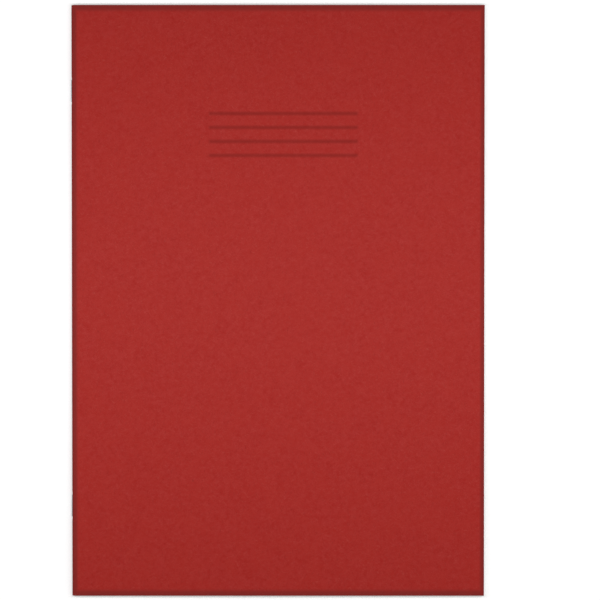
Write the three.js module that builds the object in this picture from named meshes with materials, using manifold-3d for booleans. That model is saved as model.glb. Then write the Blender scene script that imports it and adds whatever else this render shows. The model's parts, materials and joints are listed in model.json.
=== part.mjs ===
// A closed A4 project book: a folded card cover, folded paper sheets nested inside it, and two
// wire staples through the fold. It lies on its back cover. +X runs from the spine to the
// fore-edge, +Y from the foot to the head and +Z up. The origin is the middle of the underside.
// Every leaf and cover turns about one axis along the spine, halfway up the closed book.

import * as THREE from 'three';
import { mergeVertices } from 'three/addons/utils/BufferGeometryUtils.js';
import Module from 'manifold-3d';

const wasm = await Module();
wasm.setup();

// Driving sizes of the trimmed book, in millimetres
const bookWidth = 207.4;
const bookHeight = 297;

// The stock that it is made of
const sheetCount = 8;
const paperThickness = 0.1;
const cardThickness = 0.28;
const airGap = 0.02;

// The wire staples
const wireDiameter = 0.45;
const wireClearance = 0.03;
const wireBend = 0.3;
const crownLength = 11;
const clinchLength = 4.8;
const crownSink = 0.18;
const headStapleInset = 43;
const footStapleInset = 45.4;

// Room between what turns and what the staples hold
const turningClearance = 0.05;

// Facets
const foldSteps = 14;
const wireSides = 10;
const bendSteps = 4;

// Colours from the photograph, and of ordinary writing paper and galvanised wire
const cardFinish = { color: '#a6302c', roughness: 0.85, metalness: 0 };
const paperFinish = { color: '#f3f1ea', roughness: 0.9, metalness: 0 };
const wireFinish = { color: '#b4b8bc', roughness: 0.35, metalness: 1 };

// Heights and radii are measured from the turning axis. Sheet 1 is next to the cover, and the
// last sheet is the centre one, whose fold is just wide enough for the clinched wire.
const leafCount = 2 * sheetCount;
const centreRadius = wireDiameter / 2 + wireClearance + paperThickness / 2;
const sheetRadius = sheet => centreRadius + (sheetCount - sheet) * (paperThickness + airGap);
const coverRadius = sheetRadius(1) + paperThickness / 2 + airGap + cardThickness / 2;
const spineRadius = coverRadius + cardThickness / 2;
const crownRadius = spineRadius - crownSink + wireClearance + wireDiameter / 2;
const bindingReach = crownRadius + wireDiameter / 2;
const leafStart = bindingReach + turningClearance;
const foreEdge = bookWidth - spineRadius;

// The x at which a height meets a circle round the axis
const across = (radius, height) => Math.sqrt(radius ** 2 - height ** 2);

// A profile in x and z becomes a prism along Y from the foot to the head
function prism(outline) {
  const points = outline.map(([x, z]) => new THREE.Vector2(x, z));
  const geometry = new THREE.ExtrudeGeometry(new THREE.Shape(points), {
    depth: bookHeight,
    bevelEnabled: false,
  });
  geometry.rotateX(Math.PI / 2);
  geometry.translate(0, bookHeight / 2, 0);
  return geometry;
}

// A flat leaf or cover, from just outside the binding to the fore-edge
function plate(height, thickness) {
  const low = height - thickness / 2;
  const high = height + thickness / 2;
  return prism([
    [across(leafStart, low), low],
    [foreEdge, low],
    [foreEdge, high],
    [across(leafStart, high), high],
  ]);
}

// A half circle on the spine side of the axis, from its top round to its bottom
function halfCircle(radius) {
  return Array.from({ length: foldSteps + 1 }, (_, step) => {
    const angle = Math.PI / 2 + (Math.PI * step) / foldSteps;
    return [radius * Math.cos(angle), radius * Math.sin(angle)];
  });
}

// A fold: two flanks joined by a half circle, kept within the binding's reach
function fold(radius, thickness) {
  const outer = radius + thickness / 2;
  const inner = radius - thickness / 2;
  return prism([
    [across(bindingReach, outer), outer],
    ...halfCircle(outer),
    [across(bindingReach, outer), -outer],
    [across(bindingReach, inner), -inner],
    ...halfCircle(inner).reverse(),
    [across(bindingReach, inner), inner],
  ]);
}

// The centreline of a staple: straight runs between corners, with a quarter bend at each corner.
// Its parameter steps from station to station, so the bends keep their shape.
class WireLine extends THREE.Curve {
  constructor(corners) {
    super();
    const last = corners.length - 1;
    this.stations = [corners[0]];
    for (let n = 1; n < last; n += 1) {
      const back = corners[n - 1].clone().sub(corners[n]).setLength(wireBend);
      const on = corners[n + 1].clone().sub(corners[n]).setLength(wireBend);
      const centre = corners[n].clone().add(back).add(on);
      for (let step = 0; step <= bendSteps; step += 1) {
        const angle = (Math.PI / 2) * (step / bendSteps);
        const spoke = on.clone().multiplyScalar(-Math.cos(angle));
        spoke.addScaledVector(back, -Math.sin(angle));
        this.stations.push(centre.clone().add(spoke));
      }
    }
    this.stations.push(corners[last]);
  }

  getPoint(t) {
    const place = Math.min(t, 1) * (this.stations.length - 1);
    const before = Math.min(Math.floor(place), this.stations.length - 2);
    return this.stations[before].clone().lerp(this.stations[before + 1], place - before);
  }

  getPointAt(t) {
    return this.getPoint(t);
  }

  getTangentAt(t) {
    return this.getTangent(t);
  }
}

// Wire of a given radius bent to a staple: the crown lies along the spine, the legs go in through
// the folds, and their ends are clinched towards each other along the turning axis.
function stapleWire(centreY, radius) {
  const top = centreY + crownLength / 2;
  const foot = centreY - crownLength / 2;
  const line = new WireLine([
    new THREE.Vector3(0, top - clinchLength, 0),
    new THREE.Vector3(0, top, 0),
    new THREE.Vector3(-crownRadius, top, 0),
    new THREE.Vector3(-crownRadius, foot, 0),
    new THREE.Vector3(0, foot, 0),
    new THREE.Vector3(0, foot + clinchLength, 0),
  ]);
  const section = Array.from({ length: wireSides }, (_, side) => {
    const angle = (2 * Math.PI * side) / wireSides;
    return new THREE.Vector2(radius * Math.cos(angle), radius * Math.sin(angle));
  });
  return new THREE.ExtrudeGeometry(new THREE.Shape(section), {
    steps: line.stations.length - 1,
    extrudePath: line,
    bevelEnabled: false,
  });
}

// A closed geometry as a solid that can be cut, and back again
function solid(geometry) {
  const bare = geometry.clone();
  bare.deleteAttribute('normal');
  bare.deleteAttribute('uv');
  const merged = mergeVertices(bare);
  return new wasm.Manifold(new wasm.Mesh({
    numProp: 3,
    vertProperties: new Float32Array(merged.attributes.position.array),
    triVerts: new Uint32Array(merged.index.array),
  }));
}

function shapeOf(manifold) {
  const mesh = manifold.getMesh();
  const geometry = new THREE.BufferGeometry();
  geometry.setAttribute('position', new THREE.BufferAttribute(mesh.vertProperties, 3));
  geometry.setIndex(new THREE.BufferAttribute(mesh.triVerts, 1));
  geometry.computeVertexNormals();
  return geometry;
}

const book = new THREE.Group();

function add(name, geometry, finish) {
  const piece = new THREE.Mesh(geometry, new THREE.MeshStandardMaterial(finish));
  piece.name = name;
  book.add(piece);
}

const leafName = number => `leaf_${String(number).padStart(2, '0')}`;

// The staples, one near the head and one near the foot, and the room that they take in the folds
const stapleY = { head: bookHeight / 2 - headStapleInset, foot: footStapleInset - bookHeight / 2 };
const wireRoom = Object.values(stapleY).map(y => solid(stapleWire(y, wireDiameter / 2 + wireClearance)));
const pierced = geometry => shapeOf(wireRoom.reduce((left, room) => left.subtract(room), solid(geometry)));

for (const [end, y] of Object.entries(stapleY)) {
  add(`staple_${end}`, stapleWire(y, wireDiameter / 2), wireFinish);
}

// The card cover, in three pieces where it bends
add('front_cover', plate(coverRadius, cardThickness), cardFinish);
add('cover_spine', pierced(fold(coverRadius, cardThickness)), cardFinish);
add('back_cover', plate(-coverRadius, cardThickness), cardFinish);

// Each sheet is a front leaf, a back leaf and the fold between them
for (let sheet = 1; sheet <= sheetCount; sheet += 1) {
  add(leafName(sheet), plate(sheetRadius(sheet), paperThickness), paperFinish);
  add(`fold_${sheet}`, pierced(fold(sheetRadius(sheet), paperThickness)), paperFinish);
  add(leafName(leafCount + 1 - sheet), plate(-sheetRadius(sheet), paperThickness), paperFinish);
}

book.position.set((bindingReach - foreEdge) / 2, 0, spineRadius);

export default book;
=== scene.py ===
# A closed A4 project book: ruled paper leaves in a red manila card cover, held by two wire
# staples. The sections follow the making: leaves, centre fold, cover, staples, and last the
# table, the lamps and the camera. Lengths in metres; +X spine to fore-edge, +Y foot to head.

import json

import bpy
import numpy as np
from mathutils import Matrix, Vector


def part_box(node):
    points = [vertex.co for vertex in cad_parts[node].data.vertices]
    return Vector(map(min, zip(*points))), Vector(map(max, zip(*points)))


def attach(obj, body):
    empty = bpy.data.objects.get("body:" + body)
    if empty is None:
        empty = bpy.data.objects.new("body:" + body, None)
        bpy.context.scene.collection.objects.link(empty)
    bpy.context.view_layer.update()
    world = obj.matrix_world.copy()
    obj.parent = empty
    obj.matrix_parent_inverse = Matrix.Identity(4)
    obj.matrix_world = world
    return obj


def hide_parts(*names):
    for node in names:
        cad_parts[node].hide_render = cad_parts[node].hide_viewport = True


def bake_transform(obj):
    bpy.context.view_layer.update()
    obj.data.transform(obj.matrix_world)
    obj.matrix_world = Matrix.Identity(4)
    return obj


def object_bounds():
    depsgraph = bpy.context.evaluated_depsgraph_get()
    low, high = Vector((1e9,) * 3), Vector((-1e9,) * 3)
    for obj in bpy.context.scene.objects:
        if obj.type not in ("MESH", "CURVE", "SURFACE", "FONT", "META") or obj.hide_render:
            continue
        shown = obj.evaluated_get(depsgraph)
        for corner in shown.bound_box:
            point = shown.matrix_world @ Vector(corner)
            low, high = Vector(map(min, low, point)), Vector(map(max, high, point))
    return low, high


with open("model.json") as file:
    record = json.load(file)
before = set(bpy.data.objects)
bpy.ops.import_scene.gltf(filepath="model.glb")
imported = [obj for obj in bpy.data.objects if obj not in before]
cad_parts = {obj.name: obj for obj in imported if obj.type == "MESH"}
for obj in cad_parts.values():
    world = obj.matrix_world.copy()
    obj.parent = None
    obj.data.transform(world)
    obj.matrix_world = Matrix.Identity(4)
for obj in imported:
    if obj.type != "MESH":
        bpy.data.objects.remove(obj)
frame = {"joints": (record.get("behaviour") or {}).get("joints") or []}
cad_box = [list(corner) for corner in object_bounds()]

# Paper leaves
# Eight sheets of white writing paper, each folded once, make sixteen leaves that turn one by one.
# Each leaf is a flat page, which closes up on its neighbours beside the fold, and nearly a quarter
# of the round fold. A narrow strip along the stapled line stays with the staples as leaves turn.

MM = 0.001
axis_x, _, axis_z = frame["joints"][0]["pos_m"]
sheet_count = 8
leaf_count = 2 * sheet_count
fore_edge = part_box("leaf_01")[1].x - axis_x
half_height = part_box("leaf_01")[1].y
paper_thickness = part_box("leaf_01")[1].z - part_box("leaf_01")[0].z

# The pages close up within this distance of the fold line
closing_width = 0.9 * MM
# Half the stapled strip is as wide as half a staple's wire and a little room
wire_radius = (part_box("staple_head")[1].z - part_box("staple_head")[0].z) / 2
seam_room = 0.035 * MM
seam_half = wire_radius + seam_room
# The round folds end a little inside the trimmed head and foot, and a page's fold eases in over
# recess_turn. The upper half, the strip and the lower half differ, so that halves which overlap in
# an opened book never share an end face.
upper_recess = 0.06 * MM
strip_recess = 0.075 * MM
lower_recess = 0.09 * MM
recess_turn = np.radians(25)
# A very slight cockle, well within the air between two leaves, grows in over cockle_start
cockle_height = 0.01 * MM
cockle_length = 70 * MM
cockle_start = 20 * MM
cockle_seed = 8
random = np.random.default_rng(cockle_seed)
# Points round a page's fold and across the strip, and the turn past which an edge stays sharp
paper_arc_steps = 12
seam_points = 5
sheet_crease = np.radians(40)


def smooth_step(value):
    """An S curve of one value: 0 up to 0, 1 from 1 on, and 3t^2 - 2t^3 between."""
    t = np.clip(value, 0, 1)
    return t * t * (3 - 2 * t)


def middle_height(node):
    """Height of a flat CAD leaf or cover's middle above the turning axis."""
    low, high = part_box(node)
    return (low.z + high.z) / 2 - axis_z


def new_piece(name, points, faces, crease, material):
    """A piece made of points and outward faces, smooth but for edges that turn more than crease."""
    mesh = bpy.data.meshes.new(name)
    mesh.from_pydata(points, [], faces)
    mesh.shade_smooth()
    mesh.set_sharp_from_angle(angle=crease)
    mesh.materials.append(material)
    piece = bpy.data.objects.new(name, mesh)
    bpy.context.scene.collection.objects.link(piece)
    return piece


def shell(name, outer, inner, side, material):
    """A closed sheet between two grids of points, (rows, columns, xyz), joined round their rims.

    Rows run away from the spine and columns from foot to head. The grids are given for the upper
    half of the book, and side -1 mirrors them to the lower half.
    """
    grids = np.stack([outer, inner])
    grids[..., 2] *= side
    if side < 0:
        grids = grids[:, :, ::-1]
    rows, columns = grids.shape[1:3]
    number = np.arange(2 * rows * columns).reshape(2, rows, columns)
    top, under = number

    def quads(grid):
        return np.stack([grid[:-1, :-1], grid[1:, :-1], grid[1:, 1:], grid[:-1, 1:]], -1)

    def rim(edge_top, edge_under):
        return np.stack([edge_top[:-1], edge_under[:-1], edge_under[1:], edge_top[1:]], -1)

    faces = np.concatenate([
        quads(top).reshape(-1, 4),
        quads(under).reshape(-1, 4)[:, ::-1],
        rim(top[:, 0], under[:, 0]),
        rim(top[:, -1], under[:, -1])[:, ::-1],
        rim(top[0], under[0])[:, ::-1],
        rim(top[-1], under[-1]),
    ])
    points = grids.reshape(-1, 3) + np.array([axis_x, 0, axis_z])
    return new_piece(name, points, faces, sheet_crease, material)


def round_fold(radius, angle, along, recess):
    """Points and outward directions of a fold, at angles from its top round towards its bottom.

    The point is (-r sin a, y, r cos a), and y is drawn in by the recess at head and foot.
    """
    y = np.broadcast_to(along, angle.shape) * (1 - recess / half_height)
    outward = np.stack([-np.sin(angle), 0 * angle, np.cos(angle)], -1)
    return radius * outward + np.stack([0 * y, y, 0 * y], -1), outward


def bent_sheet(radius, level, flat, along, side, arc_steps, wave=0):
    """Middle line and upward direction of a sheet: an arc round the fold, then the flat page.

    The arc turns from the stapled strip up to the top at x 0. The page runs from there at the arc's
    height, eases to its own level by closing_width and has the wave added to its height.
    """
    turned = np.linspace(np.arccos(seam_half / radius), 0, arc_steps, endpoint=False)
    angle = turned[:, None] + 0 * along
    recess = upper_recess if side > 0 else lower_recess
    arc, arc_up = round_fold(radius, angle, along, recess * smooth_step(angle / recess_turn))
    x, y = np.meshgrid(flat, along, indexing="ij")
    page = np.stack([x, y, radius + (level - radius) * smooth_step(x / closing_width) + wave], -1)
    page_up = np.zeros_like(page)
    page_up[..., 2] = 1
    return np.concatenate([arc, page]), np.concatenate([arc_up, page_up])


def seam_strip(radius, along):
    """Middle line and outward direction of the strip that closes a fold along the stapled line.

    It is the round fold between the angles at which its height is seam_half and minus seam_half.
    """
    turn_end = np.arccos(seam_half / radius)
    turned = np.linspace(np.pi - turn_end, turn_end, seam_points)
    return round_fold(radius, turned[:, None] + 0 * along, along, strip_recess)


def linear(hex_code):
    """An sRGB hex colour as linear red, green, blue and alpha."""
    srgb = np.array([int(hex_code[n:n + 2], 16) for n in (1, 3, 5)]) / 255
    return (*np.where(srgb <= 0.04045, srgb / 12.92, ((srgb + 0.055) / 1.055) ** 2.4), 1)


def add_node(tree, kind, sockets=(), **settings):
    """Adds a shader node.

    Its settings are given by name, and its sockets, by name or number, take a value or another
    node's output.
    """
    node = tree.nodes.new("ShaderNode" + kind)
    for name, value in settings.items():
        setattr(node, name, value)
    for name, value in dict(sockets).items():
        if isinstance(value, bpy.types.NodeSocket):
            tree.links.new(value, node.inputs[name])
        else:
            node.inputs[name].default_value = value
    return node


def new_material(name):
    """A material with an empty node tree, and the tree."""
    material = bpy.data.materials.new(name)
    material.use_nodes = True
    material.node_tree.nodes.clear()
    return material, material.node_tree


def line_gap(tree, height, first, pitch, count):
    """How far a height is from the nearest of a set of level lines, as a share of their pitch.

    The first line is the highest. A height's number is (first - height) / pitch, and the gap is how
    far that is from the nearest whole number from 0 to count - 1.
    """
    down = add_node(tree, "Math", {0: first, 1: height}, operation="SUBTRACT")
    line_number = add_node(tree, "Math", {0: down.outputs[0], 1: pitch}, operation="DIVIDE")
    rounded = add_node(tree, "Math", {0: line_number.outputs[0]}, operation="ROUND")
    nearest = add_node(tree, "Clamp", {0: rounded.outputs[0], 1: 0, 2: count - 1})
    offset = add_node(
        tree, "Math", {0: line_number.outputs[0], 1: nearest.outputs[0]}, operation="SUBTRACT"
    )
    return add_node(tree, "Math", {0: offset.outputs[0]}, operation="ABSOLUTE").outputs[0]


# Uncoated woodfree writing paper: bleached wood pulp, lightly calendered. It is matt and a warm
# white, with a faint cloudiness from the pulp and a fine tooth. The feint ruling is a pale grey ink
# that runs across both sides to the trimmed edges.
paper_white = "#FBFAF5"
paper_cloud = "#F5F3ED"
ruling_ink = "#C6C8CC"
ruling_pitch = 12 * MM
ruling_width = 0.4 * MM
ruling_fade = 0.12 * MM
ruling_top = half_height - 30 * MM
ruling_lines = 22
edge_trace = 0.05 * MM
trace_strength = 0.2
pulp_cloud = 5 * MM
paper_tooth = 0.25 * MM
tooth_depth = 0.006 * MM
paper_roughness = 0.8
paper_sheen = 0.25

paper, tree = new_material("uncoated_writing_paper")
place = add_node(tree, "TexCoord").outputs["Object"]
axes = add_node(tree, "SeparateXYZ", {0: place})
cloud = add_node(tree, "TexNoise", {"Vector": place, "Scale": 1 / pulp_cloud, "Detail": 4})
tooth = add_node(tree, "TexNoise", {"Vector": place, "Scale": 1 / paper_tooth, "Detail": 2})
sheet_tone = add_node(
    tree, "Mix", {0: cloud.outputs[0], 6: linear(paper_white), 7: linear(paper_cloud)}, data_type="RGBA"
)
on_line = add_node(tree, "MapRange", {
    0: line_gap(tree, axes.outputs[1], ruling_top, ruling_pitch, ruling_lines),
    1: ruling_width / 2 / ruling_pitch,
    2: (ruling_width / 2 + ruling_fade) / ruling_pitch,
    3: 1,
    4: 0,
}, interpolation_type="SMOOTHSTEP")
# A line is printed on the two sides, so only a trace of it shows on the cut edge
inner_edge = axis_x + fore_edge - edge_trace
cut_edge = add_node(tree, "Math", {0: axes.outputs[0], 1: inner_edge}, operation="GREATER_THAN")
faces_only = add_node(tree, "MapRange", {0: cut_edge.outputs[0], 3: 1, 4: trace_strength})
inked = add_node(tree, "Math", {0: on_line.outputs[0], 1: faces_only.outputs[0]}, operation="MULTIPLY")
page_colour = add_node(
    tree, "Mix", {0: inked.outputs[0], 6: sheet_tone.outputs[2], 7: linear(ruling_ink)}, data_type="RGBA"
)
grain = add_node(tree, "Bump", {"Height": tooth.outputs[0], "Distance": tooth_depth})
surface = add_node(tree, "BsdfPrincipled", {
    "Base Color": page_colour.outputs[2],
    "Roughness": paper_roughness,
    "Specular IOR Level": paper_sheen,
    "Normal": grain.outputs[0],
})
add_node(tree, "OutputMaterial", {0: surface.outputs[0]})

# Points of the pages: even from foot to head, and closer together towards the fold
paper_columns = 49
closing_rows = 9
page_rows = 25
page_crowding = 1.4
along = np.linspace(-half_height, half_height, paper_columns)
flat = np.concatenate([
    np.linspace(0, closing_width, closing_rows),
    closing_width + (fore_edge - closing_width) * np.linspace(0, 1, page_rows)[1:] ** page_crowding,
])
page_x, page_y = np.meshgrid(flat, along, indexing="ij")

# Between the covers the leaves share the air evenly
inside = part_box("front_cover")[0].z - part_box("back_cover")[1].z
leaf_pitch = paper_thickness + (inside - leaf_count * paper_thickness) / (leaf_count + 1)


def paper_piece(name, middle, up, side):
    """A sheet of paper with half its thickness on each side of its middle."""
    half = up * paper_thickness / 2
    return shell(name, middle + half, middle - half, side, paper)


for number in range(1, leaf_count + 1):
    name = f"leaf_{number:02d}"
    sheet = min(number, leaf_count + 1 - number)
    side = 1 if number <= sheet_count else -1
    radius = side * middle_height(name)
    level = (sheet_count + 0.5 - sheet) * leaf_pitch
    phase = random.uniform(0, 2 * np.pi, 2)
    wave = cockle_height * np.sin(page_x / cockle_length * 2 * np.pi + phase[0])
    wave = wave * np.sin(page_y / cockle_length * 2 * np.pi + phase[1])
    wave = wave * smooth_step(page_x / cockle_start)
    middle, up = bent_sheet(radius, level, flat, along, side, paper_arc_steps, wave)
    # The centre sheet's fold is a piece of its own
    if sheet == sheet_count:
        middle, up = middle[paper_arc_steps:], up[paper_arc_steps:]
    leaf = paper_piece(name + "_page", middle, up, side)
    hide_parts(name)
    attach(leaf, name)

# The fold of an outer sheet is mostly in its two leaves, and the rest is the strip between them
for sheet in range(1, sheet_count):
    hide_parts(f"fold_{sheet}")
    middle, up = seam_strip(middle_height(f"leaf_{sheet:02d}"), along)
    strip = paper_piece(f"fold_{sheet}_strip", middle, up, 1)
    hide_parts(f"fold_{sheet}")
    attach(strip, "binding")

# Centre fold
# The fold of the centre sheet, the same paper as its two leaves. It is the page fold that shows
# the clinched staples.

centre_radius = middle_height(f"leaf_{sheet_count:02d}")
angle = np.linspace(np.pi, 0, 2 * paper_arc_steps + 1)[:, None] + 0 * along
middle, up = round_fold(centre_radius, angle, along, upper_recess * smooth_step(np.sin(angle)))
centre_fold = paper_piece("centre_fold", middle, up, 1)
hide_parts(f"fold_{sheet_count}")
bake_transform(centre_fold)

# Card cover
# One sheet of manila card, folded round the pages, stapled along the fold and trimmed flush with
# them. Its two halves turn by themselves, and the strip between them stays with the staples, which
# dent it. Four lines are printed on the front for a name and a subject.

staples = ("staple_head", "staple_foot")
staple_y = [sum(corner.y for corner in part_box(node)) / 2 for node in staples]
crown_half = (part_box("staple_head")[1].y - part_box("staple_head")[0].y) / 2
card_radius = middle_height("front_cover")
card_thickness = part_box("front_cover")[1].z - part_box("front_cover")[0].z
card_fore_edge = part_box("front_cover")[1].x - axis_x
edge_rounding = 0.08 * MM
dent_depth = 0.18 * MM
dent_half_width = 0.9 * MM
dent_run_out = 1.8 * MM

# Dyed manila card: pulp coloured right through and lightly calendered. It has a low sheen, soft
# clouds and short fibres a little lighter and darker than the ground. A darker band along the
# trimmed edges and the spine fold is painted shade where the rounding falls off in the light, with a
# little edge wear. The printed lines are a dark ink that sinks in a little.
card_red = "#A92520"
card_red_light = "#B2322E"
card_red_warm = "#B02D26"
# The colour of the painted shade along the trimmed edges and the spine fold, with a little edge wear
card_edge_shade = "#862A26"
ink_on_card = "#90241F"
print_first = half_height - 54.4 * MM
print_pitch = 7 * MM
print_lines = 4
print_start = cad_box[0][0] + 69.4 * MM
print_length = 74.7 * MM
print_width = 1.7 * MM
print_softness = 1.5 * MM
ink_least = 0.7
ink_most = 0.95
card_cloud = 2.2 * MM
card_patch = 9 * MM
patch_strength = 0.5
fibre_length = 1.6 * MM
fibre_width = 0.16 * MM
fibre_light = "#B9463F"
fibre_dark = "#8E231E"
fibre_strength = 0.5
curl_grain = fibre_length / 0.6
curl_reach = 1.2 * fibre_length
card_tooth = 0.35 * MM
card_tooth_depth = 0.02 * MM
card_roughness = 0.5
card_sheen = 0.06
# Band of painted shade along the edges and the spine fold: solid near the edge, fading further in
edge_shade_solid = 1 * MM
edge_shade_width = 2.8 * MM
end_shade_share = 0.7
shade_least = 0.7
fold_shade_start = 0.8 * MM

card, tree = new_material("dyed_manila_card")
place = add_node(tree, "TexCoord").outputs["Object"]
axes = add_node(tree, "SeparateXYZ", {0: place})
# Noise lies mostly from 0.2 to 0.8, and each range of it below stretches the part that shows
cloud = add_node(tree, "TexNoise", {"Vector": place, "Scale": 1 / card_cloud, "Detail": 5, "Roughness": 0.6})
cloud_share = add_node(tree, "MapRange", {0: cloud.outputs[0], 1: 0.3, 2: 0.7})
card_tone = add_node(tree, "Mix", {
    0: cloud_share.outputs[0],
    6: linear(card_red),
    7: linear(card_red_light),
}, data_type="RGBA")
broad = add_node(tree, "TexNoise", {"Vector": place, "Scale": 1 / card_patch, "Detail": 2})
broad_share = add_node(tree, "MapRange", {0: broad.outputs[0], 1: 0.35, 2: 0.65, 3: 0, 4: patch_strength})
card_ground = add_node(tree, "Mix", {
    0: broad_share.outputs[0],
    6: card_tone.outputs[2],
    7: linear(card_red_warm),
}, data_type="RGBA")
# Sets of curled fibres that lie three ways, in radians, lighter or darker than the ground
curl = add_node(tree, "TexNoise", {"Vector": place, "Scale": 1 / curl_grain, "Detail": 1})
curl_shift = add_node(tree, "VectorMath", {0: curl.outputs[1], "Scale": curl_reach}, operation="SCALE")
curled = add_node(tree, "VectorMath", {0: place, 1: curl_shift.outputs[0]}, operation="ADD")
fibred = card_ground.outputs[2]
for turned, tint in ((0.3, fibre_light), (1.4, fibre_dark), (2.4, fibre_light)):
    laid = add_node(tree, "Mapping", {
        "Vector": curled.outputs[0],
        "Rotation": (0, 0, turned),
        "Scale": (fibre_length, fibre_width, fibre_length),
    }, vector_type="TEXTURE")
    strand = add_node(tree, "TexNoise", {"Vector": laid.outputs[0], "Scale": 1, "Detail": 1})
    strand_share = add_node(tree, "MapRange", {
        0: strand.outputs[0], 1: 0.6, 2: 0.72, 3: 0, 4: fibre_strength,
    })
    mixed = add_node(tree, "Mix", {0: strand_share.outputs[0], 6: fibred, 7: linear(tint)}, data_type="RGBA")
    fibred = mixed.outputs[2]
# Distance in from the nearest edge, a little uneven, gives the band of painted shade, wider at
# head and foot
from_middle_y = add_node(tree, "Math", {0: axes.outputs[1]}, operation="ABSOLUTE")
from_end = add_node(tree, "Math", {0: half_height, 1: from_middle_y.outputs[0]}, operation="SUBTRACT")
in_y = add_node(tree, "Math", {0: from_end.outputs[0], 1: end_shade_share}, operation="MULTIPLY")
in_x = add_node(tree, "Math", {0: axis_x + card_fore_edge, 1: axes.outputs[0]}, operation="SUBTRACT")
in_fold = add_node(tree, "Math", {0: axes.outputs[0], 1: axis_x - fold_shade_start}, operation="SUBTRACT")
in_side = add_node(tree, "Math", {0: in_x.outputs[0], 1: in_fold.outputs[0]}, operation="MINIMUM")
in_edge = add_node(tree, "Math", {0: in_y.outputs[0], 1: in_side.outputs[0]}, operation="MINIMUM")
edge_shade = add_node(tree, "MapRange", {
    0: in_edge.outputs[0], 1: edge_shade_solid, 2: edge_shade_width, 3: 1, 4: 0,
}, interpolation_type="SMOOTHSTEP")
shade_uneven = add_node(tree, "MapRange", {0: cloud.outputs[0], 1: 0.2, 2: 0.8, 3: shade_least, 4: 1})
shade_share = add_node(tree, "Math", {0: edge_shade.outputs[0], 1: shade_uneven.outputs[0]}, operation="MULTIPLY")
# Painted shade of the rounded edges and the spine fold mixed into the card's colour
edge_shaded = add_node(tree, "Mix", {0: shade_share.outputs[0], 6: fibred, 7: linear(card_edge_shade)}, data_type="RGBA")
# The printed lines, on the outside of the front only
on_line = add_node(tree, "MapRange", {
    0: line_gap(tree, axes.outputs[1], print_first, print_pitch, print_lines),
    1: (print_width - print_softness) / 2 / print_pitch,
    2: (print_width + print_softness) / 2 / print_pitch,
    3: 1,
    4: 0,
}, interpolation_type="SMOOTHSTEP")
print_middle = print_start + print_length / 2
off_x = add_node(tree, "Math", {0: axes.outputs[0], 1: print_middle}, operation="SUBTRACT")
from_print_middle = add_node(tree, "Math", {0: off_x.outputs[0]}, operation="ABSOLUTE")
on_length = add_node(tree, "MapRange", {
    0: from_print_middle.outputs[0],
    1: (print_length - print_softness) / 2,
    2: (print_length + print_softness) / 2,
    3: 1,
    4: 0,
})
on_front = add_node(
    tree, "Math", {0: axes.outputs[2], 1: axis_z + card_radius + card_thickness / 4}, operation="GREATER_THAN"
)
on_rule = add_node(tree, "Math", {0: on_line.outputs[0], 1: on_length.outputs[0]}, operation="MULTIPLY")
ink_take = add_node(tree, "MapRange", {0: cloud.outputs[0], 1: 0.2, 2: 0.8, 3: ink_most, 4: ink_least})
rule_taken = add_node(tree, "Math", {0: on_rule.outputs[0], 1: ink_take.outputs[0]}, operation="MULTIPLY")
inked = add_node(tree, "Math", {0: rule_taken.outputs[0], 1: on_front.outputs[0]}, operation="MULTIPLY")
card_colour = add_node(
    tree, "Mix", {0: inked.outputs[0], 6: edge_shaded.outputs[2], 7: linear(ink_on_card)}, data_type="RGBA"
)
tooth = add_node(tree, "TexNoise", {"Vector": place, "Scale": 1 / card_tooth, "Detail": 3})
grain = add_node(tree, "Bump", {"Height": tooth.outputs[0], "Distance": card_tooth_depth})
surface = add_node(tree, "BsdfPrincipled", {
    "Base Color": card_colour.outputs[2],
    "Roughness": card_roughness,
    "Specular IOR Level": card_sheen,
    "Normal": grain.outputs[0],
})
add_node(tree, "OutputMaterial", {0: surface.outputs[0]})


def rounding(distance):
    """How far a surface drops near a trimmed edge: a quarter circle of edge_rounding."""
    reach = np.clip(edge_rounding - distance, 0, edge_rounding)
    return edge_rounding - np.sqrt(edge_rounding**2 - reach**2)


def dent(x, y, z):
    """Depth of the press marks: a trough along each crown, an S curve across and beyond its ends."""
    beyond = np.min([np.abs(y - centre_y) - crown_half for centre_y in staple_y], axis=0)
    lengthwise = 1 - smooth_step(beyond / dent_run_out)
    crosswise = 1 - smooth_step(np.abs(z) / dent_half_width)
    return dent_depth * lengthwise * crosswise * (x < 0)


# Points of the card: close together along the trimmed edges and at the ends of the crowns, even
# from foot to head between them, and closer towards the fold
even_margin = 1 * MM
card_arc_steps = 20
card_columns = 41
card_rows = 41
card_crowding = 1.5
crown_columns = 8
near_edge = edge_rounding * np.array([0, 0.1, 0.3, 0.6, 1])
near_crown_end = crown_half + dent_run_out * np.linspace(-0.4, 1, crown_columns)
card_along = np.unique(np.concatenate([
    near_edge - half_height,
    half_height - near_edge,
    np.linspace(-1, 1, card_columns) * (half_height - even_margin),
    *[centre_y + sign * near_crown_end for centre_y in staple_y for sign in (-1, 1)],
]))
card_flat = np.concatenate([
    np.linspace(0, 1, card_rows) ** card_crowding * (card_fore_edge - even_margin),
    card_fore_edge - near_edge[::-1],
])


def card_faces(middle, up):
    """The card's outer and inner faces, rounded along its trimmed edges and dented at the staples."""
    x, y, z = np.moveaxis(middle + up * card_thickness / 2, -1, 0)
    drop = np.maximum(rounding(card_fore_edge - x), rounding(half_height - np.abs(card_along)))
    outer = middle + up * (card_thickness / 2 - drop - dent(x, y, z))[..., None]
    inner = middle - up * (card_thickness / 2 - drop)[..., None]
    return outer, inner


for name, side in (("front_cover", 1), ("back_cover", -1)):
    middle, up = bent_sheet(card_radius, card_radius, card_flat, card_along, side, card_arc_steps)
    cover = shell(name + "_card", *card_faces(middle, up), side, card)
    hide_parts(name, "cover_spine")
    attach(cover, name)

spine_strip = shell("cover_spine_strip", *card_faces(*seam_strip(card_radius, card_along)), 1, card)
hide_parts("cover_spine")
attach(spine_strip, "binding")

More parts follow.
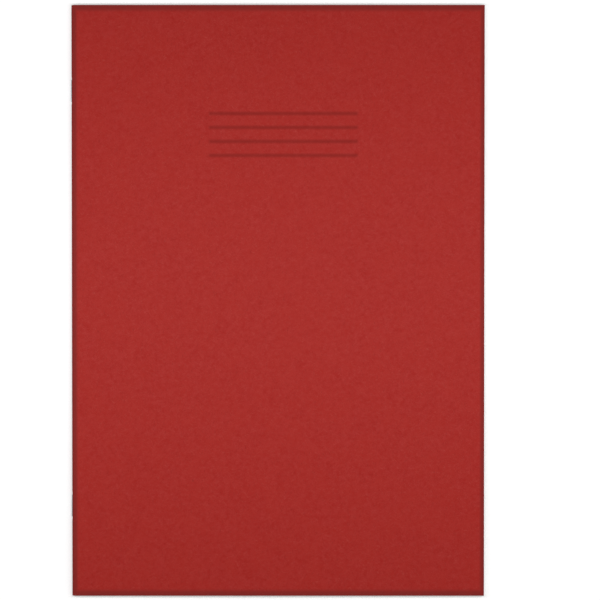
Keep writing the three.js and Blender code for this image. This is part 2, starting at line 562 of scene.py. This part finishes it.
# Staples
# Two wires pushed through the fold from outside: the crown lies along the spine in its dent, the
# legs go in through card and paper, and the ends are clinched flat along the centre fold.

leg_y = crown_half - wire_radius
crown_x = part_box("staple_head")[0].x + wire_radius - axis_x
bend_radius = 0.3 * MM
bend_points = 9
clinch_length = 4.8 * MM
wire_sides = 24
wire_crease = np.radians(50)

# Galvanised steel wire: drawn, so its grain runs along it, and dulled by its zinc. Its streaks are
# 0.11 mm wide and 1.4 mm long, coarser than real ones, so that they show.
zinc_light = "#BFC3C6"
zinc_dark = "#9DA1A5"
streak_width = MM / 9
streak_length = MM / 0.7
wire_smooth = 0.3
wire_dull = 0.45

wire, tree = new_material("galvanised_steel_wire")
place = add_node(tree, "TexCoord").outputs["Object"]
drawn = add_node(tree, "Mapping", {
    "Vector": place,
    "Scale": (1 / streak_width, 1 / streak_length, 1 / streak_width),
})
streak = add_node(tree, "TexNoise", {"Vector": drawn.outputs[0], "Scale": 1, "Detail": 2})
zinc = add_node(
    tree, "Mix", {0: streak.outputs[0], 6: linear(zinc_light), 7: linear(zinc_dark)}, data_type="RGBA"
)
dullness = add_node(tree, "MapRange", {0: streak.outputs[0], 1: 0.2, 2: 0.8, 3: wire_smooth, 4: wire_dull})
surface = add_node(tree, "BsdfPrincipled", {
    "Base Color": zinc.outputs[2],
    "Metallic": 1,
    "Roughness": dullness.outputs[0],
})
add_node(tree, "OutputMaterial", {0: surface.outputs[0]})


def wire_line(centre_y):
    """Middle line of a staple in the plane of the axis: straight runs joined by quarter bends."""
    turn = np.linspace(0, np.pi / 2, bend_points)
    ends = np.array([[0, leg_y - clinch_length], [0, leg_y], [crown_x, leg_y]])
    first = ends[1] + bend_radius * np.stack([np.cos(turn) - 1, np.sin(turn) - 1], -1)
    second = ends[2] + bend_radius * np.stack([1 - np.sin(turn), np.cos(turn) - 1], -1)
    upper = np.concatenate([ends[:1], first, second])
    lower = upper[::-1] * [1, -1]
    line = np.concatenate([upper, lower])
    return np.stack([line[:, 0] + axis_x, line[:, 1] + centre_y, np.full(len(line), axis_z)], -1)


def tube(name, line, radius, sides, material):
    """A round section carried along a line that lies level, closed by a flat face at each end."""
    run = np.gradient(line, axis=0)
    run /= np.linalg.norm(run, axis=1)[:, None]
    across = np.cross(run, [0, 0, 1])
    angle = np.linspace(0, 2 * np.pi, sides, endpoint=False)
    ring = across[:, None] * np.cos(angle)[:, None] + np.array([0, 0, 1]) * np.sin(angle)[:, None]
    points = line[:, None] + radius * ring
    number = np.arange(len(line) * sides).reshape(len(line), sides)
    beside = np.roll(number, -1, 1)
    side_faces = np.stack([number[:-1], number[1:], beside[1:], beside[:-1]], -1).reshape(-1, 4)
    faces = [*side_faces.tolist(), number[0].tolist(), number[-1, ::-1].tolist()]
    return new_piece(name, points.reshape(-1, 3), faces, wire_crease, material)


for node, centre_y in zip(staples, staple_y):
    staple = tube(node + "_wire", wire_line(centre_y), wire_radius, wire_sides, wire)
    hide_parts(node)
    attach(staple, "binding")

# Floor and surroundings
# A pale table top that keeps the book's shadow. Away from the book it lifts to the plain white of
# the surroundings, which metal and gloss reflect too.

floor_pale = "#F2F2F2"
# The lift is near_lift of full white up to lift_from from the middle, and full from lift_to on
near_lift = 0.3
lift_from = 0.12
lift_to = 0.45
table_gap = 0.05 * MM


def seen_ray(tree):
    """1 for a ray that the camera sees, straight, in a gloss or through glass, and 0 for others."""
    ray = add_node(tree, "LightPath")
    seen = add_node(
        tree, "Math", {0: ray.outputs["Is Camera Ray"], 1: ray.outputs["Is Glossy Ray"]}, operation="ADD"
    )
    seen_through = add_node(
        tree, "Math", {0: seen.outputs[0], 1: ray.outputs["Is Transmission Ray"]}, operation="ADD"
    )
    return seen_through.outputs[0]


table_top, tree = new_material("painted_table_top")
place = add_node(tree, "TexCoord").outputs["Object"]
away = add_node(tree, "VectorMath", {0: place}, operation="LENGTH")
lift = add_node(tree, "MapRange", {
    0: away.outputs[1], 1: lift_from, 2: lift_to, 3: near_lift, 4: 1,
}, interpolation_type="SMOOTHSTEP")
strength = add_node(tree, "Math", {0: seen_ray(tree), 1: lift.outputs[0]}, operation="MULTIPLY")
glow = add_node(tree, "Emission", {"Color": (1, 1, 1, 1), "Strength": strength.outputs[0]})
paint = add_node(tree, "BsdfDiffuse", {"Color": linear(floor_pale)})
both = add_node(tree, "AddShader", {0: paint.outputs[0], 1: glow.outputs[0]})
add_node(tree, "OutputMaterial", {0: both.outputs[0]})

floor_half = 4
corners = [(-1, -1), (1, -1), (1, 1), (-1, 1)]
floor_points = [(x * floor_half, y * floor_half, -table_gap) for x, y in corners]
floor = new_piece("table_top", floor_points, [(0, 1, 2, 3)], sheet_crease, table_top)

room_light = 0.245
world = bpy.data.worlds.new("white_room")
bpy.context.scene.world = world
world.use_nodes = True
tree = world.node_tree
tree.nodes.clear()
strength = add_node(tree, "MapRange", {0: seen_ray(tree), 3: room_light, 4: 1})
backdrop = add_node(tree, "Background", {"Color": (1, 1, 1, 1), "Strength": strength.outputs[0]})
add_node(tree, "OutputWorld", {0: backdrop.outputs[0]})

# Lamps
# One long soft box close above the book, across it and a little towards the head, so that the
# light falls off gently to the head and foot and hardly at all to the sides.


def soft_box(name, place, length, width, power):
    """A rectangular lamp facing straight down, its length along X and its width along Y."""
    light = bpy.data.lights.new(name, "AREA")
    light.shape = "RECTANGLE"
    light.size = length
    light.size_y = width
    light.energy = power
    lamp = bpy.data.objects.new(name, light)
    lamp.location = place
    lamp.visible_camera = False
    bpy.context.scene.collection.objects.link(lamp)


soft_box("overhead_box", place=(0, 0.01, 0.375), length=1.1, width=0.12, power=1.83)

# Camera
# Above the cover and a degree towards the head, which so looks a little wider than the foot. The
# view takes in 301.5 mm, and the book stands a little left of its middle.

camera_distance = 1.2
camera_lean = np.radians(1.07)
view_width = 301.5 * MM
view_x = 11.2 * MM
view_y = 0.52 * MM
sensor_width = 36
camera = bpy.data.cameras.new("camera")
camera.sensor_width = sensor_width
camera.lens = sensor_width * camera_distance / view_width
viewer = bpy.data.objects.new("camera", camera)
viewer.location = (
    view_x,
    view_y + camera_distance * np.sin(camera_lean),
    cad_box[1][2] + camera_distance * np.cos(camera_lean),
)
viewer.rotation_euler = (-camera_lean, 0, 0)
bpy.context.scene.collection.objects.link(viewer)
bpy.context.scene.camera = viewer
bpy.context.scene.view_settings.view_transform = "Standard"
